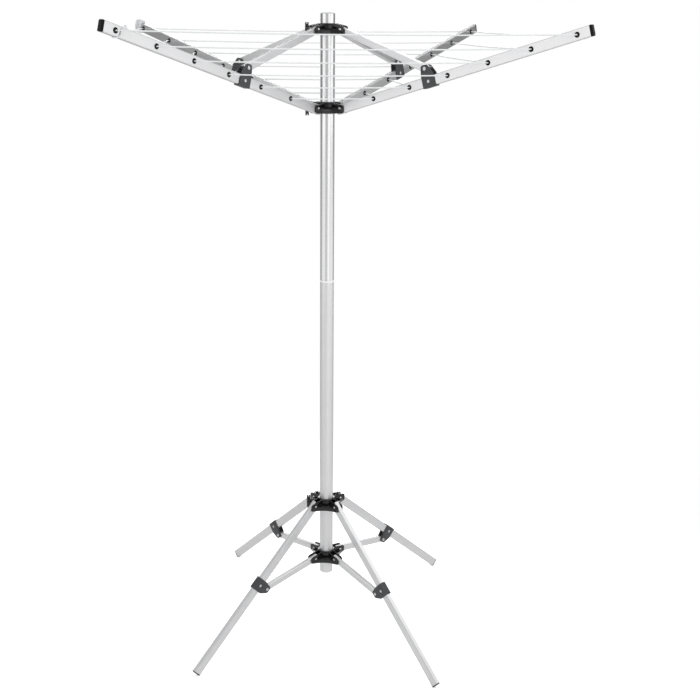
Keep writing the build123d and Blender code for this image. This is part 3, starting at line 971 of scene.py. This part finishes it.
@dataclass
class Line:
    """Six rounds of line as half spans on the arms, with the spare cord and the tie at two tips."""

    radius: float = 1.5
    stand: float = 1.6
    ease: float = 4.0
    sag_share: float = 0.0065
    fold_turn: float = 67.09
    hang_share: float = 0.9
    least_keep: float = 0.01
    wrap_gap: float = 0.1
    wrap_step: float = 1.1
    wrap_points: int = 96
    wrap_power: float = 7.0

    def half_span(self, corner: Corner, side: Side, along: float) -> bpy.types.Object:
        """Half a span, from inside the arm out through its eyelet to the middle of the span.

        The path runs straight out of the eyelet, turns to the span's heading over a short
        curve, then sags as a parabola: z = -sag (2t - t^2) with t from the arm to the middle.

        Args:
            corner: the arm.
            side: which way round the mast the span goes.
            along: the eyelet's distance along the arm.

        Returns:
            The half span's object.
        """
        azimuth = math.radians(corner.azimuth(SIZE.arm_turn))
        rise = math.radians(SIZE.arm_rise)
        reach = SIZE.pivot_r + along * math.cos(rise)
        height = SIZE.head_lower + along * math.sin(rise)
        radial = np.array([math.cos(azimuth), math.sin(azimuth), 0])
        tangent = side.value * np.array([-math.sin(azimuth), math.cos(azimuth), 0])
        heading = (tangent - radial) / math.sqrt(2)
        out, ease = SIZE.tube_w / 2 + self.stand, self.ease
        hole = reach * radial + np.array([0, 0, height])
        knee = hole + (out + ease) * tangent
        length = (reach + out + ease) / math.sqrt(2)
        u = np.linspace(0, 1, 7)[:, None]
        start, end = hole + out * tangent, knee + ease * heading
        curve = (1 - u) ** 2 * start + 2 * u * (1 - u) * knee + u**2 * end
        t = np.linspace(0, 1, 25)[1:, None]
        run = end + (length - ease) * t * heading
        run[:, 2] -= (self.sag_share * reach * (2 * t - t**2))[:, 0]
        inner = hole + out * np.linspace(0, 1, 5)[:-1, None] * tangent
        path = np.vstack([inner, curve, run])
        path = np.vstack([path[:1], path, path[-1:]])
        path[0] -= NUDGE * tangent
        path[-1] += NUDGE * heading
        grid = swept(path, self.closed(path), 12, np.array([0, 0, 1.0]))
        piece = self.piece(f"line_{corner.value}_{side.name.lower()}_{round(along)}", grid, corner)
        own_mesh(piece)
        return piece

    def closed(self, path: np.ndarray) -> np.ndarray:
        """The cord's radius at each point of a path, drawn to a point at both ends."""
        ends = np.isin(np.arange(len(path)), (0, len(path) - 1))
        return np.where(ends, POINT, self.radius)

    def piece(
        self, name: str, grid: np.ndarray, corner: Corner, ring: bool = False
    ) -> bpy.types.Object:
        """Makes a stretch of line on an arm from its grid, whose ends meet where it is a ring."""
        work = Shell().grid(grid, ring, True)
        return work.build(name, PVC.material(), f"arm_{corner.value}", ("clothes_line",), "line")

    def wrap(
        self,
        corner: Corner,
        start: float,
        pitch: float,
        turns: float,
        slant: float,
        name: str,
        lift: float,
    ) -> None:
        """Cord wound round an arm: a rounded rectangle in section that steps along the arm.

        The angle a goes round the section as a superellipse of power 7, so the cord follows the
        flat faces and eases round the corners; x = start + pitch a / 2 pi + slant sin(a). The
        path is then spaced evenly and smoothed over five points.

        Args:
            corner: the arm.
            start: where it begins along the arm.
            pitch: step along the arm each turn.
            turns: how many turns.
            slant: how far the turns lean along the arm.
            name: the piece's name.
            lift: how far a second layer lies over the first.
        """
        a = np.linspace(0, 2 * np.pi * turns, int(self.wrap_points * turns))
        off = self.radius + self.wrap_gap + lift
        half_w, half_h = SIZE.tube_w / 2 + off, SIZE.tube_h / 2 + off
        power = 2 / self.wrap_power
        y = half_w * np.sign(np.cos(a)) * np.abs(np.cos(a)) ** power
        z = half_h * np.sign(np.sin(a)) * np.abs(np.sin(a)) ** power
        x = start + pitch * a / (2 * np.pi) + slant * np.sin(a)
        dense = np.stack([x, y, z], -1)
        gone = np.concatenate([[0], np.cumsum(np.linalg.norm(np.diff(dense, axis=0), axis=1))])
        even = np.linspace(0, gone[-1], int(gone[-1] / self.wrap_step))
        path = np.stack([np.interp(even, gone, dense[:, k]) for k in range(3)], -1)
        kernel = np.array([1, 2, 3, 2, 1]) / 9
        wide = np.pad(path, ((2, 2), (0, 0)), mode="edge")
        soft = np.stack([np.convolve(wide[:, k], kernel, "valid") for k in range(3)], -1)
        tube = swept(soft, self.closed(soft), 12, np.array([1.0, 0, 0]))
        self.piece(name, placed(SIZE.arm(corner), tube), corner)

    def knot(
        self, corner: Corner, spot: tuple[float, float, float], size: float, name: str
    ) -> None:
        """Overhand knot: a trefoil (sin t + 2 sin 2t, -0.8 sin 3t, cos t - 2 cos 2t) set on an arm.

        Args:
            corner: the arm.
            spot: its middle in the arm's frame.
            size: its reach from the middle.
            name: the piece's name.
        """
        t = np.linspace(0, 2 * np.pi, 120, endpoint=False)
        x, z = np.sin(t) + 2 * np.sin(2 * t), np.cos(t) - 2 * np.cos(2 * t)
        curve = np.stack([x, -0.8 * np.sin(3 * t), z], -1)
        path = np.vstack([curve, curve[:1]]) * size / 3 + np.array(spot)
        grid = placed(SIZE.arm(corner), swept(path, self.radius, 10, np.array([0.05, 1.0, 0.03])))
        self.piece(name, grid[:-1], corner, ring=True)

    def build(self) -> None:
        """Makes the half spans, the spare cord and the tie."""
        for corner in Corner:
            for side in Side:
                for along in SIZE.stations():
                    self.half_span(corner, side, along)
        tip, spare, tied = SIZE.arm_length, Corner.REAR_LEFT, Corner.FRONT_LEFT
        wraps = (
            (spare, tip - 19.0, 3.5, 6.5, 1.0, "spare_cord", 0.0),
            (spare, tip - 17.0, 6.4, 2.75, 2.4, "spare_cord_over", 2.9),
            (tied, tip - 46.0, 2.5, 1.25, -11.0, "tie_loop", 0.0),
        )
        for corner, start, pitch, turns, slant, name, lift in wraps:
            self.wrap(corner, start, pitch, turns, slant, name, lift)
        self.knot(tied, (tip - 56.0, 2.5, 15.4), 2.4, "tie_knot")


@dataclass(frozen=True)
class Studio:
    """Pale floor, soft lights and the camera, fitted to the photograph's view."""

    distance: float = 2667.1
    height: float = 1718.5
    heading: float = 1.398
    pitch: float = 17.957
    roll: float = 0.591
    orbit: float = 6.138
    sensor: float = 36.0
    focal_px: float = 1000.0
    image_px: float = 700.0
    front: float = 0.58
    patch: float = 0.62
    patch_x: float = -0.33
    back: float = 0.12
    far_wall: float = 0.6
    ceiling: float = 0.72
    ceiling_end: float = 0.2
    ground: float = 0.8
    ground_front: float = 1.2
    pale_x: float = 0.22
    left_glow: float = 0.94
    right_glow: float = 1.08
    low_glow: float = 0.44
    front_glow: float = 0.86
    foot_glow: float = 0.32
    top_glow: float = 2.1
    back_glow: float = 8.0
    floor_r: float = 2.0
    floor_lift: float = 0.5
    floor_fade: tuple[float, float] = (0.5, 1.6)

    def camera(self) -> None:
        """Sets the camera from its heading, pitch and roll, and turns it round the mast."""
        h, p, r = (math.radians(a) for a in (self.heading, self.pitch, self.roll))
        ahead = np.array([math.sin(h), math.cos(h), 0])
        right = np.array([math.cos(h), -math.sin(h), 0])
        up_axis = np.array([0, 0, 1.0])
        forward = math.cos(p) * ahead - math.sin(p) * up_axis
        up = math.sin(p) * ahead + math.cos(p) * up_axis
        right, up = right * math.cos(r) + up * math.sin(r), -right * math.sin(r) + up * math.cos(r)
        place = np.eye(4)
        place[:3, 0], place[:3, 1], place[:3, 2] = right, up, -forward
        place[:3, 3] = np.array([0, -self.distance, self.height]) * MM
        place = turn("z", -self.orbit) @ place
        data = bpy.data.cameras.new("camera")
        data.lens = self.sensor * self.focal_px / self.image_px
        data.sensor_width = self.sensor
        made = bpy.data.objects.new("camera", data)
        bpy.context.scene.collection.objects.link(made)
        made.matrix_world = Matrix(place.tolist())
        bpy.context.scene.camera = made

    def light(
        self,
        name: str,
        spot: tuple[float, float, float],
        size: tuple[float, float],
        glow: float,
        target: tuple[float, float, float],
    ) -> None:
        """Soft box at a spot in metres, hidden from the camera, with its glow as radiance.

        Args:
            name: the light's name.
            spot: its middle.
            size: its width and height in metres.
            glow: its radiance; the power is glow times pi times its area.
            target: the point that it faces.
        """
        data = bpy.data.lights.new(name, "AREA")
        data.shape = "RECTANGLE"
        data.size, data.size_y = size
        data.energy = glow * math.pi * size[0] * size[1]
        made = bpy.data.objects.new(name, data)
        bpy.context.scene.collection.objects.link(made)
        made.location = spot
        made.visible_camera = False
        aim = Vector(target) - made.location
        made.rotation_mode = "QUATERNION"
        made.rotation_quaternion = aim.to_track_quat("-Z", "Y")

    def sky(self) -> None:
        """Studio walls: white behind the object as the camera sees it, dim as the metal sees it.

        The walls' glow falls from the front to the sides over the direction's Y, with a paler
        patch beside the camera, and rises again straight behind. A white ceiling and ground come
        in over its Z; the ground is brightest near one X, and both end dimly at the back.
        """
        world = bpy.data.worlds.new("studio")
        bpy.context.scene.world = world
        world.use_nodes = True
        tree = world.node_tree
        tree.nodes.clear()
        where = add_node(tree, "ShaderNodeTexCoord")
        heading = {"Vector": where.outputs["Generated"]}
        parts = add_node(tree, "ShaderNodeSeparateXYZ", None, heading)
        level = {name: parts.outputs[name] for name in "XYZ"}
        for name, centre in (("from_patch", self.patch_x), ("from_pale", self.pale_x)):
            less = {"operation": "SUBTRACT", 1: centre}
            gap = add_node(tree, "ShaderNodeMath", less, {0: level["X"]}).outputs["Value"]
            size = add_node(tree, "ShaderNodeMath", {"operation": "ABSOLUTE"}, {0: gap})
            level[name] = size.outputs["Value"]
        steps = (
            ("front", "from_patch", (0.05, 0.16), (self.patch, self.front)),
            ("depth", "Y", (-0.3, -0.02), (0.0, 1.0)),
            ("pale", "from_pale", (0.15, 0.45), (self.ground_front, self.ground)),
            ("behind", "Y", (0.2, 0.7), (1.0, 0.35)),
            ("under", "Z", (-0.2, 0.0), (1.0, 0.0)),
            ("over", "Z", (0.15, 0.5), (0.0, 1.0)),
            ("roof_end", "Y", (0.72, 0.82), (self.ceiling, self.ceiling * self.ceiling_end)),
            ("far_side", "Y", (0.45, 0.75), (0.0, self.far_wall)),
            ("far_top", "Z", (0.2, 0.35), (1.0, 0.0)),
        )
        for name, source, over, to in steps:
            links = {"Value": level[source]}
            made = add_node(tree, "ShaderNodeMapRange", smooth_step(over, to), links)
            level[name] = made.outputs["Result"]
        walls = add_node(
            tree,
            "ShaderNodeMapRange",
            {"From Min": 0.0, "From Max": 1.0, "To Max": self.back},
            {"Value": level["depth"], "To Min": level["front"]},
        )
        level["walls"] = walls.outputs["Result"]
        joins = (
            ("roof", "MULTIPLY", "over", "roof_end"),
            ("pale", "MULTIPLY", "pale", "behind"),
            ("ground", "MULTIPLY", "under", "pale"),
            ("far", "MULTIPLY", "far_side", "far_top"),
            ("round", "MAXIMUM", "walls", "far"),
            ("high", "MAXIMUM", "round", "roof"),
            ("glow", "MAXIMUM", "high", "ground"),
        )
        for name, operation, one, two in joins:
            links = {0: level[one], 1: level[two]}
            made = add_node(tree, "ShaderNodeMath", {"operation": operation}, links)
            level[name] = made.outputs["Value"]
        path = add_node(tree, "ShaderNodeLightPath")
        white = {"Color": linear("#ffffff")}
        room = add_node(tree, "ShaderNodeBackground", white, {"Strength": level["glow"]})
        paper = add_node(tree, "ShaderNodeBackground", {**white, "Strength": 1.0})
        mixed = add_node(
            tree,
            "ShaderNodeMixShader",
            None,
            {
                0: path.outputs["Is Camera Ray"],
                1: room.outputs["Background"],
                2: paper.outputs["Background"],
            },
        )
        add_node(tree, "ShaderNodeOutputWorld", None, {"Surface": mixed.outputs["Shader"]})

    def floor(self) -> None:
        """White paper floor that takes soft shadows near the object and fades out further off."""
        mesh = bpy.data.meshes.new("floor")
        a = np.linspace(0, 2 * np.pi, 96, endpoint=False)
        ring = np.stack([self.floor_r * np.cos(a), self.floor_r * np.sin(a), 0 * a], -1)
        mesh.from_pydata(ring.tolist(), [], [list(range(len(ring)))])
        made = bpy.data.objects.new("floor", mesh)
        bpy.context.scene.collection.objects.link(made)
        paper = bpy.data.materials.new("floor_paper")
        paper.use_nodes = True
        tree = paper.node_tree
        tree.nodes.clear()
        where = add_node(tree, "ShaderNodeTexCoord")
        spot = {0: where.outputs["Object"]}
        far = add_node(tree, "ShaderNodeVectorMath", {"operation": "LENGTH"}, spot)
        fading = smooth_step(self.floor_fade, (0.0, 1.0))
        fade = add_node(tree, "ShaderNodeMapRange", fading, {"Value": far.outputs["Value"]})
        path = add_node(tree, "ShaderNodeLightPath")
        lift = add_node(
            tree,
            "ShaderNodeMath",
            {"operation": "MULTIPLY", 1: self.floor_lift},
            {0: path.outputs["Is Camera Ray"]},
        )
        flat = add_node(tree, "ShaderNodeBsdfDiffuse", {"Color": linear("#f4f4f4")})
        white = {"Color": linear("#ffffff")}
        glow = add_node(tree, "ShaderNodeEmission", white, {"Strength": lift.outputs["Value"]})
        pair = {0: flat.outputs["BSDF"], 1: glow.outputs["Emission"]}
        near = add_node(tree, "ShaderNodeAddShader", None, pair)
        clear = add_node(tree, "ShaderNodeBsdfTransparent")
        mixed = add_node(
            tree,
            "ShaderNodeMixShader",
            None,
            {0: fade.outputs["Result"], 1: near.outputs["Shader"], 2: clear.outputs["BSDF"]},
        )
        add_node(tree, "ShaderNodeOutputMaterial", None, {"Surface": mixed.outputs["Shader"]})
        mesh.materials.append(paper)

    def build(self) -> None:
        """Makes the floor, the sky, the lights and the camera."""
        bpy.context.scene.view_settings.view_transform = "Standard"
        self.floor()
        self.sky()
        # Each soft box's name, middle, size, glow and target. The strip stands far behind, where
        # the hubs' top edges and the leg struts mirror it.
        boxes = (
            ("left_box", (-1.45, -0.92, 1.9), (1.94, 1.4), self.left_glow, (0, -0.92, 1.9)),
            ("left_low_box", (-1.45, -0.92, 0.8), (1.94, 0.8), self.low_glow, (0, -0.92, 0.8)),
            ("right_box", (1.45, -0.7, 1.95), (1.6, 1.3), self.right_glow, (0, -0.7, 1.95)),
            ("right_low_box", (1.45, -0.7, 0.8), (1.6, 1.0), self.low_glow, (0, -0.7, 0.8)),
            ("front_box", (0.88, -2.18, 1.75), (1.6, 1.5), self.front_glow, (0, 0, 1.75)),
            ("front_low_box", (0.8, -2.2, 0.6), (1.6, 0.8), self.foot_glow, (0, 0, 0.6)),
            ("back_strip", (0.0, 8.0, 4.2), (6.0, 1.0), self.back_glow, (0, 0, 1.0)),
            ("top_box", (0.2, -0.5, 4.3), (2.4, 2.4), self.top_glow, (0, 0, 0)),
        )
        for name, spot, size, glow, target in boxes:
            self.light(name, spot, size, glow, target)
        self.camera()


def main() -> None:
    """Loads the frame, dresses it piece by piece and sets the studio."""
    logging.basicConfig(level=logging.INFO, format="%(name)s: %(message)s")
    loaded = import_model()
    nodes = loaded["nodes"]
    Mast().build()
    arms, legs = SIZE.arm_turn, SIZE.leg_turn
    hubs = (
        ("head_upper", "head_mast", SIZE.head_upper, arms, True, SIZE.head_ear, "upper_knob"),
        ("head_lower", "head_slider", SIZE.head_lower, arms, False, SIZE.head_ear, "lower_knob"),
        ("base_upper", "base_slider", SIZE.base_upper, legs, False, SIZE.base_ear, "base_knob"),
        ("base_lower", "base_mast", SIZE.base_lower, legs, True, SIZE.base_ear, ""),
    )
    for name, *rest in hubs:
        Hub(name + "_hub", name + "_rivets", *rest).build()
    for corner in Corner:
        Arm(corner).build(nodes)
        Leg(corner).build(nodes)
    Line().build()
    Studio().build()


if __name__ == "__main__":
    main()
